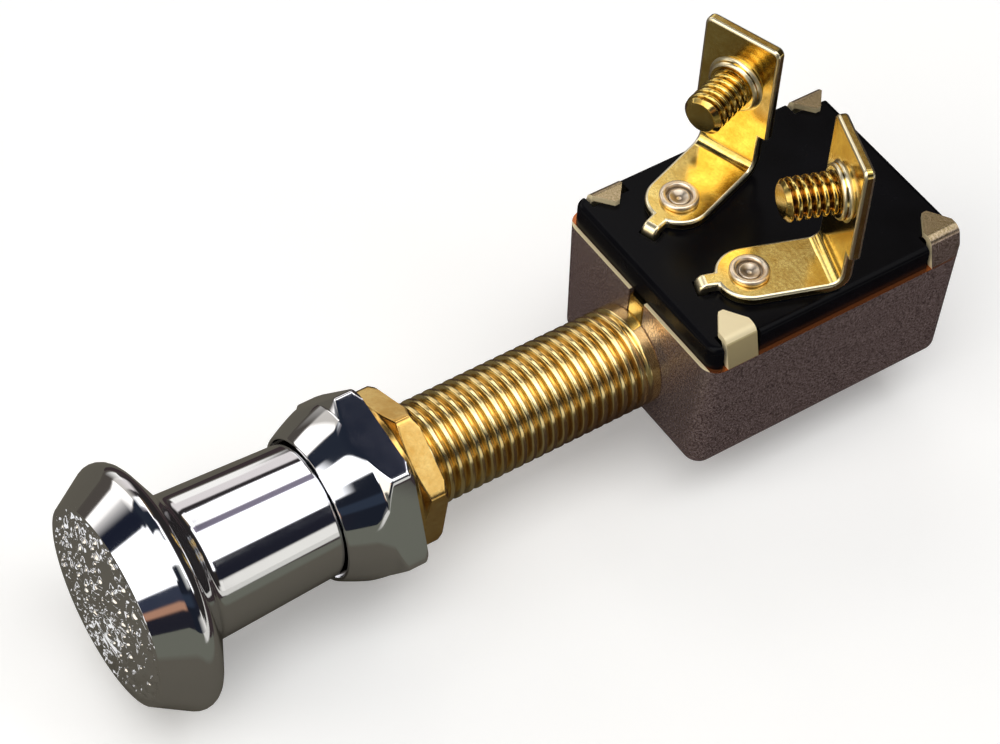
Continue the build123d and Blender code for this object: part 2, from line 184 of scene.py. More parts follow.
# Fineness of the meshes: rings and sides of turned pieces, and steps along an outline
FACE_RINGS = 110
BELL_RINGS = 24
KNOB_SIDES = 432
BEZEL_SIDES = 360
PANEL_NUT_SIDES = 288
STEM_SIDES = 160
SCREW_SIDES = 72
EYELET_SIDES = 96
KNOB_STEP = 0.4
NUT_STEP = 0.12
STEM_STEP = STEM_PITCH / 16
SCREW_STEP = SCREW_PITCH / 12
EYELET_STEP = 0.06
KEY_BEVEL_STEPS = 2
EASE_STEPS = 3
STEP_SLACK = 0.01
LEAST_ROUND_STEPS = 4
WELD = 0.002
SAME_SPOT = 0.0001
FLAT_ANGLE = math.radians(1.0)
SHARP_ANGLE = math.radians(40)

# Threads, as shares: the flank along a turn, and the part of the crest's radius outside which it is cut
THREAD_FLANK = (0.15, 0.46)
THREAD_SKIN = 0.98

# Stipple, as shares: a pebble's slope across its cell, and the part of the face that has it in full
PEBBLE_SLOPE = (0.1, 0.6)
STIPPLE_FADE = 0.9
STIPPLE_SEED = 0.3

# How squarely a flat or a face has to look one way to count
FLAT_FACING = 0.3
MOSTLY = 0.5


def place_of(node):
    """Lowest and highest corner of a CAD node in millimetres."""
    low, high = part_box(node)
    return low / MM, high / MM


# Camera fitted to the photograph, in millimetres, degrees and pixels of its 1000 x 744 frame
IMAGE_WIDTH = 1000
CAMERA_TARGET = (0, -20, 0)
CAMERA_AZIMUTH = 52.96
CAMERA_ELEVATION = 49.28
CAMERA_ROLL = 4.163
CAMERA_DISTANCE = 274.96
CAMERA_SIDE = 5.092
CAMERA_RISE = 6.211
FOCAL_PIXELS = 3199.5
SENSOR_WIDTH = 36.0


def make_camera():
    """Camera at the photograph's viewing angle."""
    azimuth = math.radians(CAMERA_AZIMUTH)
    elevation = math.radians(CAMERA_ELEVATION)
    roll = math.radians(CAMERA_ROLL)
    back = Vector((math.sin(azimuth) * math.cos(elevation), -math.cos(azimuth) * math.cos(elevation),
                   math.sin(elevation)))
    level = Vector((math.cos(azimuth), math.sin(azimuth), 0))
    rise = back.cross(level)
    right = level * math.cos(roll) + rise * math.sin(roll)
    up = rise * math.cos(roll) - level * math.sin(roll)
    spot = Vector(CAMERA_TARGET) + back * CAMERA_DISTANCE + right * CAMERA_SIDE + up * CAMERA_RISE
    data = bpy.data.cameras.new("camera")
    data.sensor_width = SENSOR_WIDTH
    data.lens = SENSOR_WIDTH * FOCAL_PIXELS / IMAGE_WIDTH
    data.clip_start = 0.01
    data.clip_end = 20
    camera = bpy.data.objects.new("camera", data)
    camera.matrix_world = Matrix.Translation(spot * MM) @ Matrix((right, up, back)).transposed().to_4x4()
    bpy.context.scene.collection.objects.link(camera)
    bpy.context.scene.camera = camera


def linear(code):
    """Linear colour of an sRGB hex value."""
    parts = [int(code[i:i + 2], 16) / 255 for i in (1, 3, 5)]
    return (*[p / 12.92 if p <= 0.04045 else ((p + 0.055) / 1.055) ** 2.4 for p in parts], 1)


def add(tree, kind, sockets=None, **settings):
    """Adds a node with its settings, and fills or links its sockets."""
    node = tree.nodes.new(kind)
    for name, value in settings.items():
        setattr(node, name, value)
    for name, value in (sockets or {}).items():
        if isinstance(value, bpy.types.NodeSocket):
            tree.links.new(value, node.inputs[name])
        else:
            node.inputs[name].default_value = value
    return node


def new_material(name):
    """Material with an empty tree, its shader and its Object coordinates."""
    material = bpy.data.materials.new(name)
    material.use_nodes = True
    tree = material.node_tree
    tree.nodes.clear()
    shader = add(tree, "ShaderNodeBsdfPrincipled")
    add(tree, "ShaderNodeOutputMaterial", {"Surface": shader.outputs[0]})
    spot = add(tree, "ShaderNodeTexCoord").outputs["Object"]
    return material, tree, shader, spot


def per_metre(size_mm):
    """Texture scale whose features are about this size."""
    return 1 / (size_mm * MM)


# Materials
# Painted highlight on marked edges: its cream colour and roughness
EDGE_HIGHLIGHT = "#FFF4D2"
EDGE_HIGHLIGHT_ROUGH = 0.3


def chrome_plate():
    """Polished chrome over turned metal: neutral mirror, with a very faint haze that breaks its lights."""
    material, tree, shader, spot = new_material("chrome_plate_polished")
    # Real haze is finer, and is drawn as coarse as it needs to show
    haze = add(tree, "ShaderNodeTexNoise", {"Vector": spot, "Scale": per_metre(1.5), "Detail": 4.0})
    rough = add(tree, "ShaderNodeMapRange", {"Value": haze.outputs["Fac"], "To Min": 0.03, "To Max": 0.09})
    shader.inputs["Base Color"].default_value = linear("#E9EAEE")
    shader.inputs["Metallic"].default_value = 1.0
    tree.links.new(rough.outputs[0], shader.inputs["Roughness"])
    return material


def worked_metal(name, pale, deep, sunk, rough, grain_mm, bump):
    """Worked metal: fine mottle of colour and gloss, cream painted highlight on marked edges, painted shade
    sunk into grooves.
    """
    material, tree, shader, spot = new_material(name)
    # Real grain is finer, and is drawn as coarse as it needs to show
    grain = add(tree, "ShaderNodeTexNoise", {"Vector": spot, "Scale": per_metre(grain_mm), "Detail": 5.0,
                                             "Roughness": 0.65})
    broad = add(tree, "ShaderNodeTexNoise", {"Vector": spot, "Scale": per_metre(6 * grain_mm),
                                             "Detail": 2.0})
    blend = add(tree, "ShaderNodeMath", {0: grain.outputs["Fac"], 1: broad.outputs["Fac"]},
                operation="MULTIPLY")
    share = add(tree, "ShaderNodeMapRange", {"Value": blend.outputs[0], "From Min": 0.12, "From Max": 0.40})
    colour = add(tree, "ShaderNodeMix", {"Factor": share.outputs[0], "A": linear(deep), "B": linear(pale)},
                 data_type="RGBA")
    # Painted highlight: cream mixed in where the mesh marks an edge or face
    pale_and_highlight = add(tree, "ShaderNodeAttribute", attribute_name="pale_and_highlight").outputs["Fac"]
    highlighted = add(tree, "ShaderNodeMix", {"Factor": pale_and_highlight, "A": colour.outputs["Result"],
                                         "B": linear(EDGE_HIGHLIGHT)}, data_type="RGBA")
    # Painted shade: the sunk colour mixed in where thread grooves and eyelet hollows lie
    groove = add(tree, "ShaderNodeAttribute", attribute_name="groove").outputs["Fac"]
    groove_shade = add(tree, "ShaderNodeMapRange", {"Value": groove, "From Min": 0.3, "From Max": 1.0}).outputs[0]
    groove_shaded = add(tree, "ShaderNodeMix", {"Factor": groove_shade, "A": highlighted.outputs["Result"], "B": linear(sunk)},
                data_type="RGBA")
    tree.links.new(groove_shaded.outputs["Result"], shader.inputs["Base Color"])
    gloss = add(tree, "ShaderNodeMapRange", {"Value": grain.outputs["Fac"], "To Min": rough * 0.7,
                                             "To Max": rough * 1.3})
    dulled = add(tree, "ShaderNodeMix", {"Factor": pale_and_highlight, "A": gloss.outputs[0], "B": EDGE_HIGHLIGHT_ROUGH},
                 data_type="FLOAT")
    tree.links.new(dulled.outputs["Result"], shader.inputs["Roughness"])
    relief = add(tree, "ShaderNodeBump", {"Height": grain.outputs["Fac"], "Strength": bump,
                                          "Distance": 0.05 * MM})
    tree.links.new(relief.outputs[0], shader.inputs["Normal"])
    shader.inputs["Metallic"].default_value = 1.0
    return material


def brass_can_painted_light():
    """Brass sheet in painted light: speckled brown as painted shade, coppery on its rim, cream as painted
    highlight on the front rim edge and marked tabs.
    """
    material, tree, shader, spot = new_material("bronzed_brass_sheet")
    grain = add(tree, "ShaderNodeTexNoise", {"Vector": spot, "Scale": per_metre(0.2), "Detail": 1.0})
    speckle = add(tree, "ShaderNodeMapRange", {"Value": grain.outputs["Fac"], "From Min": 0.3,
                                               "From Max": 0.7})
    # The brown stands in for brass walls in shade; the speckle is the sheet's own
    brown = add(tree, "ShaderNodeMix", {"Factor": speckle.outputs[0], "A": linear("#73615E"),
                                        "B": linear("#D2BCB6")}, data_type="RGBA")
    rim = place_of("terminal_plate")[0].z + PLATE_PLUG
    axes = add(tree, "ShaderNodeSeparateXYZ", {0: spot}).outputs
    on_rim = add(tree, "ShaderNodeMath", {0: axes["Z"], 1: rim * MM, 2: COPPER_RIM_T * MM},
                 operation="COMPARE").outputs[0]
    # Painted highlight along the rim's front edge
    front = add(tree, "ShaderNodeMath", {0: axes["Y"], 1: BOX_WALL / 2 * MM},
                operation="LESS_THAN").outputs[0]
    front_rim_highlight = add(tree, "ShaderNodeMath", {0: on_rim, 1: front}, operation="MULTIPLY").outputs[0]
    # Marked faces: olive painted sheen up to half, cream painted highlight above
    pale_and_highlight = add(tree, "ShaderNodeAttribute", attribute_name="pale_and_highlight").outputs["Fac"]
    olive_sheen = add(tree, "ShaderNodeMapRange", {"Value": pale_and_highlight, "From Max": 0.5}).outputs[0]
    cream_highlight = add(tree, "ShaderNodeMapRange", {"Value": pale_and_highlight, "From Min": 0.5, "From Max": 1.0}).outputs[0]
    pale = add(tree, "ShaderNodeMath", {0: cream_highlight, 1: front_rim_highlight}, operation="MAXIMUM").outputs[0]
    colour = brown.outputs["Result"]
    for share, code in ((on_rim, "#B4683A"), (olive_sheen, "#AC9A5E"), (pale, "#FBEBC0")):
        colour = add(tree, "ShaderNodeMix", {"Factor": share, "A": colour, "B": linear(code)},
                     data_type="RGBA").outputs["Result"]
    tree.links.new(colour, shader.inputs["Base Color"])
    metal = add(tree, "ShaderNodeMapRange", {"Value": pale, "To Min": 0.82, "To Max": 0.25})
    tree.links.new(metal.outputs[0], shader.inputs["Metallic"])
    rough = add(tree, "ShaderNodeMapRange", {"Value": pale, "To Min": 0.23, "To Max": 0.45})
    tree.links.new(rough.outputs[0], shader.inputs["Roughness"])
    return material


def black_phenolic():
    """Moulded phenolic: near-black and glossy, with a faint flow mottle."""
    material, tree, shader, spot = new_material("phenolic_moulded_black")
    flow = add(tree, "ShaderNodeTexNoise", {"Vector": spot, "Scale": per_metre(4.0), "Detail": 4.0})
    colour = add(tree, "ShaderNodeMix", {"Factor": flow.outputs["Fac"], "A": linear("#050507"),
                                         "B": linear("#0E0E12")}, data_type="RGBA")
    tree.links.new(colour.outputs["Result"], shader.inputs["Base Color"])
    rough = add(tree, "ShaderNodeMapRange", {"Value": flow.outputs["Fac"], "To Min": 0.16, "To Max": 0.34})
    tree.links.new(rough.outputs[0], shader.inputs["Roughness"])
    shader.inputs["Specular IOR Level"].default_value = 0.06
    return material


def pressed_fibre():
    """Vulcanised fibre: red-brown, dull, with short fibres in it."""
    material, tree, shader, spot = new_material("vulcanised_fibre_pressed")
    fibres = add(tree, "ShaderNodeTexNoise", {"Vector": spot, "Scale": per_metre(0.4), "Detail": 6.0})
    colour = add(tree, "ShaderNodeMix", {"Factor": fibres.outputs["Fac"], "A": linear("#5A2B20"),
                                         "B": linear("#8A4A38")}, data_type="RGBA")
    tree.links.new(colour.outputs["Result"], shader.inputs["Base Color"])
    shader.inputs["Roughness"].default_value = 0.75
    return material


def drawn_steel():
    """Bright drawn steel: grey mirror with fine marks along the draw."""
    material, tree, shader, spot = new_material("steel_bright_drawn")
    # Real marks are finer, and are drawn as coarse as they need to show
    along = add(tree, "ShaderNodeMapping", {"Vector": spot, "Scale": (1.0, 0.05, 1.0)})
    marks = add(tree, "ShaderNodeTexNoise", {"Vector": along.outputs[0], "Scale": per_metre(0.2),
                                             "Detail": 3.0})
    rough = add(tree, "ShaderNodeMapRange", {"Value": marks.outputs["Fac"], "To Min": 0.15, "To Max": 0.35})
    tree.links.new(rough.outputs[0], shader.inputs["Roughness"])
    shader.inputs["Base Color"].default_value = linear("#B5B6B8")
    shader.inputs["Metallic"].default_value = 1.0
    return material


CHROME = chrome_plate()

# Turned brass: pale and smooth, with a faint painted shade in its thread
STEM_BRASS = worked_metal("brass_turned_bright", pale="#FFEDB2", deep="#F4D48A", sunk="#E2B868",
                          rough=0.19, grain_mm=0.8, bump=0.02)

# Milled brass: deeper in colour, with a satin gloss
NUT_BRASS = worked_metal("brass_milled_satin", pale="#F0CC80", deep="#D8A856", sunk="#6A4018",
                         rough=0.22, grain_mm=0.5, bump=0.05)

# Stamped brass: bright yellow strip with a fine mottle, painted shade in its screw threads and a painted
# highlight on its terminals' edges
STRIP_BRASS = worked_metal("brass_stamped_bright", pale="#F7E08E", deep="#DAB45A", sunk="#8A5626",
                           rough=0.15, grain_mm=0.3, bump=0.05)

# Tinned copper: dull and pinkish white, with painted shade in its groove
TINNED = worked_metal("copper_tinned_dull", pale="#FFF4E2", deep="#F4DCC0", sunk="#2E1C14",
                      rough=0.36, grain_mm=0.3, bump=0.05)

BRASS_PAINTED_LIGHT = brass_can_painted_light()
PHENOLIC = black_phenolic()
FIBRE = pressed_fibre()
STEEL = drawn_steel()


# Shapes
def outline(corners, step):
    """Points about a step apart, from the first to the last of the corners (radius, y, rounding)."""
    count = len(corners)
    points = []
    for i, (radius, y, rounding) in enumerate(corners):
        here = Vector((radius, y))
        if rounding == 0:
            points.append(here)
            continue
        to_last = (Vector(corners[i - 1][:2]) - here).normalized()
        to_next = (Vector(corners[(i + 1) % count][:2]) - here).normalized()
        half = to_last.angle(to_next) / 2
        sweep = math.pi - 2 * half
        centre = here + (to_last + to_next).normalized() * rounding / math.sin(half)
        first = here + to_last * rounding / math.tan(half) - centre
        last = here + to_next * rounding / math.tan(half) - centre
        turns = max(LEAST_ROUND_STEPS, math.ceil(rounding * sweep / step))
        for k in range(turns + 1):
            share = k / turns
            points.append(centre + (first * math.sin((1 - share) * sweep) + last * math.sin(share * sweep))
                          / math.sin(sweep))
    filled = []
    for a, b in zip(points, points[1:]):
        runs = max(1, math.ceil((b - a).length / step - STEP_SLACK))
        filled += [a.lerp(b, k / runs) for k in range(runs)]
    return filled + [points[-1]]


def new_object(name, mesh, material):
    """Object with one material, linked at the origin."""
    piece = bpy.data.objects.new(name, mesh)
    mesh.materials.clear()
    mesh.materials.append(material)
    bpy.context.scene.collection.objects.link(piece)
    return piece


def turned(name, points, segments, material, radius_at=None):
    """Solid turned about Y from (radius, y) points: a ring, or closed on the axis where a radius is 0."""
    shape = bmesh.new()
    rings = []
    for radius, y in points:
        if radius < SAME_SPOT:
            rings.append([shape.verts.new((0, y, 0))])
            continue
        ring = []
        for k in range(segments):
            angle = 2 * math.pi * k / segments
            r = radius_at(radius, angle) if radius_at else radius
            ring.append(shape.verts.new((r * math.cos(angle), y, r * math.sin(angle))))
        rings.append(ring)
    on_axis = len(rings[0]) == 1
    for a, b in zip(rings, rings[1:] if on_axis else rings[1:] + rings[:1]):
        for k in range(segments):
            n = (k + 1) % segments
            corners = [a[k % len(a)], a[n % len(a)], b[n % len(b)], b[k % len(b)]]
            shape.faces.new(list(dict.fromkeys(corners)))
    bmesh.ops.remove_doubles(shape, verts=shape.verts, dist=SAME_SPOT)
    bmesh.ops.recalc_face_normals(shape, faces=shape.faces)
    mesh = bpy.data.meshes.new(name)
    shape.to_mesh(mesh)
    shape.free()
    mesh.transform(Matrix.Scale(MM, 4))
    mesh.shade_smooth()
    mesh.set_sharp_from_angle(angle=SHARP_ANGLE)
    return new_object(name, mesh, material)


def soft_min(a, b, width):
    """The smaller of two values, rounded over a width where they meet."""
    share = max(width - abs(a - b), 0) / width
    return min(a, b) - share * share * width / 4


def hexagon_cut(across, corner_turn, width):
    """Radius of a turned blank after its six flats are cut."""
    def radius_at(radius, angle):
        for k in range(6):
            facing = math.cos(angle - math.radians(corner_turn + 30 + 60 * k))
            if facing > FLAT_FACING:
                radius = soft_min(radius, across / 2 / facing, width)
        return radius
    return radius_at


def bake(piece):
    """Turns a piece's modifiers into a plain mesh."""
    graph = bpy.context.evaluated_depsgraph_get()
    mesh = bpy.data.meshes.new_from_object(piece.evaluated_get(graph))
    piece.modifiers.clear()
    piece.data = mesh
    return piece


def apply_tree(piece, tree, **values):
    """Runs a node tree on a piece with named inputs, and bakes it."""
    modifier = piece.modifiers.new(tree.name, "NODES")
    modifier.node_group = tree
    for item in tree.interface.items_tree:
        name = item.name.replace(" ", "_").lower()
        if item.in_out == "INPUT" and name in values:
            modifier[item.identifier] = values[name]
    return bake(piece)


def new_tree(name, inputs):
    """Node tree with a mesh in and out and named inputs."""
    tree = bpy.data.node_groups.new(name, "GeometryNodeTree")
    tree.interface.new_socket("Mesh", in_out="INPUT", socket_type="NodeSocketGeometry")
    for label, kind in inputs:
        tree.interface.new_socket(label, in_out="INPUT", socket_type=kind)
    tree.interface.new_socket("Mesh", in_out="OUTPUT", socket_type="NodeSocketGeometry")
    return tree, add(tree, "NodeGroupInput").outputs


def end_tree(tree, mesh, material):
    """Realises the mesh, sets its material and ends the tree."""
    real = add(tree, "GeometryNodeRealizeInstances", {0: mesh})
    done = add(tree, "GeometryNodeSetMaterial", {"Geometry": real.outputs[0], "Material": material})
    add(tree, "NodeGroupOutput", {0: done.outputs[0]})
    return tree


def thread_tree():
    """Cuts a right-handed V thread into the outside of a blank turned about Y."""
    tree, given = new_tree("cut_thread", [("Pitch", "NodeSocketFloat"), ("Depth", "NodeSocketFloat"),
                                          ("Crest Radius", "NodeSocketFloat"), ("Start", "NodeSocketFloat"),
                                          ("End", "NodeSocketFloat"), ("Finish", "NodeSocketMaterial")])
    spot = add(tree, "GeometryNodeInputPosition").outputs[0]
    axes = add(tree, "ShaderNodeSeparateXYZ", {0: spot}).outputs
    radial = add(tree, "ShaderNodeVectorMath", {0: spot, 1: (1, 0, 1)}, operation="MULTIPLY").outputs[0]
    radius = add(tree, "ShaderNodeVectorMath", {0: radial}, operation="LENGTH").outputs["Value"]
    under = add(tree, "ShaderNodeMath", {0: axes["Z"], 1: -1.0}, operation="MULTIPLY").outputs[0]
    angle = add(tree, "ShaderNodeMath", {0: under, 1: axes["X"]}, operation="ARCTAN2").outputs[0]
    turns = add(tree, "ShaderNodeMath", {0: angle, 1: 2 * math.pi}, operation="DIVIDE").outputs[0]
    from_start = add(tree, "ShaderNodeMath", {0: axes["Y"], 1: given["Start"]},
                     operation="SUBTRACT").outputs[0]
    along = add(tree, "ShaderNodeMath", {0: from_start, 1: given["Pitch"]}, operation="DIVIDE").outputs[0]
    phase = add(tree, "ShaderNodeMath", {0: along, 1: turns}, operation="SUBTRACT").outputs[0]
    wave = add(tree, "ShaderNodeMath", {0: phase, 1: 0.5}, operation="PINGPONG").outputs[0]
    groove = add(tree, "ShaderNodeMapRange", {"Value": wave, "From Min": THREAD_FLANK[0],
                                              "From Max": THREAD_FLANK[1]},
                 interpolation_type="SMOOTHSTEP").outputs[0]
    ease_in = add(tree, "ShaderNodeMath", {0: given["Start"], 1: given["Pitch"]}).outputs[0]
    ease_out = add(tree, "ShaderNodeMath", {0: given["End"], 1: given["Pitch"]},
                   operation="SUBTRACT").outputs[0]
    entry = add(tree, "ShaderNodeMapRange", {"Value": axes["Y"], "From Min": given["Start"],
                                             "From Max": ease_in}).outputs[0]
    leave = add(tree, "ShaderNodeMapRange", {"Value": axes["Y"], "From Min": given["End"],
                                             "From Max": ease_out}).outputs[0]
    inner = add(tree, "ShaderNodeMath", {0: given["Crest Radius"], 1: THREAD_SKIN},
                operation="MULTIPLY").outputs[0]
    outside = add(tree, "ShaderNodeMath", {0: radius, 1: inner}, operation="GREATER_THAN").outputs[0]
    sunk = groove
    for factor in (entry, leave, outside):
        sunk = add(tree, "ShaderNodeMath", {0: sunk, 1: factor}, operation="MULTIPLY").outputs[0]
    cut = add(tree, "ShaderNodeMath", {0: sunk, 1: given["Depth"]}, operation="MULTIPLY").outputs[0]
    way = add(tree, "ShaderNodeVectorMath", {0: radial}, operation="NORMALIZE").outputs[0]
    back = add(tree, "ShaderNodeMath", {0: cut, 1: -1.0}, operation="MULTIPLY").outputs[0]
    shift = add(tree, "ShaderNodeVectorMath", {0: way, "Scale": back}, operation="SCALE").outputs[0]
    # The groove share is kept for the painted shade of the finish
    marked = add(tree, "GeometryNodeStoreNamedAttribute", {"Geometry": given["Mesh"], "Name": "groove",
                                                           "Value": sunk}).outputs[0]
    moved = add(tree, "GeometryNodeSetPosition", {"Geometry": marked, "Offset": shift}).outputs[0]
    return end_tree(tree, moved, given["Finish"])


def stipple_tree():
    """Sinks valleys between uneven pebbles into the front face of a knob turned about Y."""
    tree, given = new_tree("stipple_face", [("Grain", "NodeSocketFloat"), ("Depth", "NodeSocketFloat"),
                                            ("Face Radius", "NodeSocketFloat"),
                                            ("Face Edge", "NodeSocketFloat"), ("Seed", "NodeSocketFloat"),
                                            ("Finish", "NodeSocketMaterial")])
    spot = add(tree, "GeometryNodeInputPosition").outputs[0]
    axes = add(tree, "ShaderNodeSeparateXYZ", {0: spot}).outputs
    radial = add(tree, "ShaderNodeVectorMath", {0: spot, 1: (1, 0, 1)}, operation="MULTIPLY").outputs[0]
    radius = add(tree, "ShaderNodeVectorMath", {0: radial}, operation="LENGTH").outputs["Value"]
    scale = add(tree, "ShaderNodeMath", {0: 1.0, 1: given["Grain"]}, operation="DIVIDE").outputs[0]
    start = add(tree, "ShaderNodeCombineXYZ", {"X": given["Seed"], "Y": given["Seed"]}).outputs[0]
    there = add(tree, "ShaderNodeVectorMath", {0: spot, 1: start}).outputs[0]
    warp = add(tree, "ShaderNodeTexNoise", {"Vector": there, "Scale": scale}).outputs["Color"]
    swing = add(tree, "ShaderNodeVectorMath", {0: warp, "Scale": given["Grain"]},
                operation="SCALE").outputs[0]
    bent = add(tree, "ShaderNodeVectorMath", {0: there, 1: swing}).outputs[0]
    cells = add(tree, "ShaderNodeTexVoronoi", {"Vector": bent, "Scale": scale}).outputs["Distance"]
    valley = add(tree, "ShaderNodeMapRange", {"Value": cells, "From Min": PEBBLE_SLOPE[0],
                                              "From Max": PEBBLE_SLOPE[1]},
                 interpolation_type="SMOOTHSTEP").outputs[0]
    inner = add(tree, "ShaderNodeMath", {0: given["Face Radius"], 1: STIPPLE_FADE},
                operation="MULTIPLY").outputs[0]
    fade = add(tree, "ShaderNodeMapRange", {"Value": radius, "From Min": given["Face Radius"],
                                            "From Max": inner}).outputs[0]
    front = add(tree, "ShaderNodeMath", {0: axes["Y"], 1: given["Face Edge"]},
                operation="LESS_THAN").outputs[0]
    sink = valley
    for factor in (fade, front, given["Depth"]):
        sink = add(tree, "ShaderNodeMath", {0: sink, 1: factor}, operation="MULTIPLY").outputs[0]
    shift = add(tree, "ShaderNodeCombineXYZ", {"Y": sink}).outputs[0]
    moved = add(tree, "GeometryNodeSetPosition", {"Geometry": given["Mesh"], "Offset": shift}).outputs[0]
    return end_tree(tree, moved, given["Finish"])


THREAD = thread_tree()
STIPPLE = stipple_tree()


def join(pieces):
    """Joins pieces into the first one."""
    shape = bmesh.new()
    for piece in pieces:
        shape.from_mesh(piece.data)
    first = pieces[0]
    shape.to_mesh(first.data)
    shape.free()
    for piece in pieces[1:]:
        bpy.data.objects.remove(piece)
    return first


def stand_for(piece, node):
    """The piece takes a CAD node's place on its body."""
    body = nodes[node]["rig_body"]
    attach(piece, body)
    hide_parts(node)


# Pieces
def knob():
    """Turned knob with its stippled face."""
    back = place_of("knob")[1].y
    root = back - KNOB_NECK
    rim = root - KNOB_SHOULDER
    crease = rim - KNOB_SIDE
    face_r = KNOB_FACE_D / 2
    face = [(face_r * k / FACE_RINGS, crease - KNOB_RISE * (1 - (k / FACE_RINGS) ** 2))
            for k in range(FACE_RINGS)]
    corners = [(face_r, crease, 0.0), (KNOB_RIM_D / 2, rim, KNOB_RIM_ROUND),
               (KNOB_NECK_D[1] / 2, root, KNOB_ROOT_ROUND), (KNOB_NECK_D[0] / 2, back, KNOB_END_ROUND),
               (0, back, 0.0)]
    piece = turned("chromed_knob", face + outline(corners, KNOB_STEP), KNOB_SIDES, CHROME)
    apply_tree(piece, STIPPLE, grain=STIPPLE_GRAIN * MM, depth=STIPPLE_DEPTH * MM, face_radius=face_r * MM,
               face_edge=crease * MM, seed=STIPPLE_SEED, finish=CHROME)
    stand_for(piece, "knob")


def bezel_nut():
    """Chromed hexagon nut with a bell front."""
    low, high = place_of("bezel_nut")
    front = low.y
    back = high.y
    shoulder = back - BEZEL_HEX
    corner_r = BEZEL_ACROSS / 2 / math.cos(math.radians(30))
    mouth_r = BEZEL_MOUTH_D / 2
    recess_r = mouth_r - BEZEL_LIP
    bell = []
    for k in range(1, BELL_RINGS + 1):
        share = k / BELL_RINGS
        cone = mouth_r + (BEZEL_BELL_D / 2 - mouth_r) * share
        bell.append((cone + 4 * BEZEL_BULGE * share * (1 - share), front + (shoulder - front) * share, 0.0))
    corners = [(recess_r, front + BEZEL_RECESS, 0.0), (recess_r, front, SMALL_ROUND),
               (mouth_r, front, SMALL_ROUND), *bell,
               (corner_r, shoulder + BEZEL_CORNER, 0.0), (corner_r, back - NUT_EDGE, 0.0),
               (corner_r - NUT_EDGE, back, 0.0), (NUT_BORE / 2, back, 0.0),
               (NUT_BORE / 2, front + BEZEL_RECESS, 0.0)]
    piece = turned("chromed_bezel_nut", outline(corners, NUT_STEP), BEZEL_SIDES, CHROME,
                   hexagon_cut(BEZEL_ACROSS, BEZEL_TURN, BEZEL_SOFT))
    stand_for(piece, "bezel_nut")


def panel_nut():
    """Thin brass hexagon nut with a round shoulder."""
    low, high = place_of("panel_nut")
    front = low.y
    back = high.y
    shoulder = front + PANEL_NUT_COLLAR
    corner_r = PANEL_NUT_ACROSS / 2 / math.cos(math.radians(30))
    corners = [(NUT_BORE / 2, front, 0.0), (PANEL_NUT_FACE_D / 2, front, PANEL_NUT_FACE_ROUND),
               (PANEL_NUT_ACROSS / 2, shoulder, PANEL_NUT_COLLAR_ROUND),
               (corner_r, shoulder + NUT_EDGE, 0.0), (corner_r, back - NUT_EDGE, 0.0),
               (corner_r - NUT_EDGE, back, 0.0), (NUT_BORE / 2, back, 0.0)]
    piece = turned("brass_panel_nut", outline(corners, NUT_STEP), PANEL_NUT_SIDES, NUT_BRASS,
                   hexagon_cut(PANEL_NUT_ACROSS, PANEL_NUT_TURN, PANEL_NUT_SOFT))
    stand_for(piece, "panel_nut")


def threaded_stem():
    """Brass stem with its thread, staked end and key."""
    low, high = place_of("threaded_bushing")
    crest = high.x
    bore = STEM_BORE / 2
    corners = [(bore, low.y, 0.0), (crest - STEM_CHAMFER, low.y, 0.0), (crest, low.y + STEM_CHAMFER, 0.0),
               (crest, 0, SMALL_ROUND), (SHANK_D / 2, 0, 0.0), (SHANK_D / 2, BOX_WALL, 0.0),
               (STAKE_D / 2, BOX_WALL, 0.0), (STAKE_D / 2, BOX_WALL + STAKE_T, STAKE_ROUND),
               (bore, BOX_WALL + STAKE_T, 0.0)]
    piece = turned("brass_threaded_stem", outline(corners, STEM_STEP), STEM_SIDES, STEM_BRASS)
    apply_tree(piece, THREAD, pitch=STEM_PITCH * MM, depth=STEM_DEPTH * MM, crest_radius=crest * MM,
               start=low.y * MM, end=-STEM_PLAIN * MM, finish=STEM_BRASS)
    key = bmesh.new()
    bmesh.ops.create_cube(key, size=1.0)
    bmesh.ops.scale(key, vec=(KEY_WIDTH, BOX_WALL, high.z - SHANK_D / 2 + KEY_ROOT), verts=key.verts)
    bmesh.ops.translate(key, vec=(0, BOX_WALL / 2, (high.z + SHANK_D / 2 - KEY_ROOT) / 2), verts=key.verts)
    bmesh.ops.bevel(key, geom=key.edges, offset=SMALL_ROUND, segments=KEY_BEVEL_STEPS, affect="EDGES")
    mesh = bpy.data.meshes.new("stem_key")
    key.to_mesh(mesh)
    key.free()
    mesh.transform(Matrix.Scale(MM, 4))
    stand_for(join([piece, new_object("stem_key", mesh, STEM_BRASS)]), "threaded_bushing")


def terminal_place(side):
    """Place of a terminal's eyelet on the plate's top, splayed outwards to the back."""
    low, high = place_of("eyelet_right")
    top = place_of("terminal_plate")[1].z
    spot = Vector((side * (low.x + high.x) / 2, (low.y + high.y) / 2, top)) * MM
    return Matrix.Translation(spot) @ Matrix.Rotation(math.radians(-side * SPLAY), 4, "Z")


